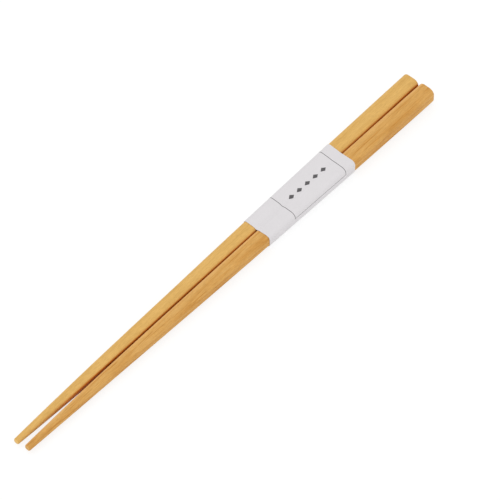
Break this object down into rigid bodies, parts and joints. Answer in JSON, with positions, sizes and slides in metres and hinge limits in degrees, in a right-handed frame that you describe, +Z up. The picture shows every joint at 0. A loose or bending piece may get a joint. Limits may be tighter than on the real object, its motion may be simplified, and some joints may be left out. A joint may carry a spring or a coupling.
{
  "type": "pair of chopsticks",
  "caption": "Slender tapered wooden eating sticks, square with rounded edges at the butt and fine at the tip, held side by side by a paper band.",
  "frame": {"origin": "middle of the pair on the surface that it lies on, at half its length", "axes": "+X along the sticks towards the butts, +Y towards the left stick as seen from the tips, +Z up"},
  "size_m": [0.2308, 0.0154, 0.0081],
  "materials": {
    "left_wood": "satin",
    "right_wood": "satin",
    "paper": "matte"
  },
  "bodies": {
    "root": {"left_chopstick": "left_wood", "right_chopstick": "right_wood", "paper_band": "paper"}
  },
  "joints": []
}
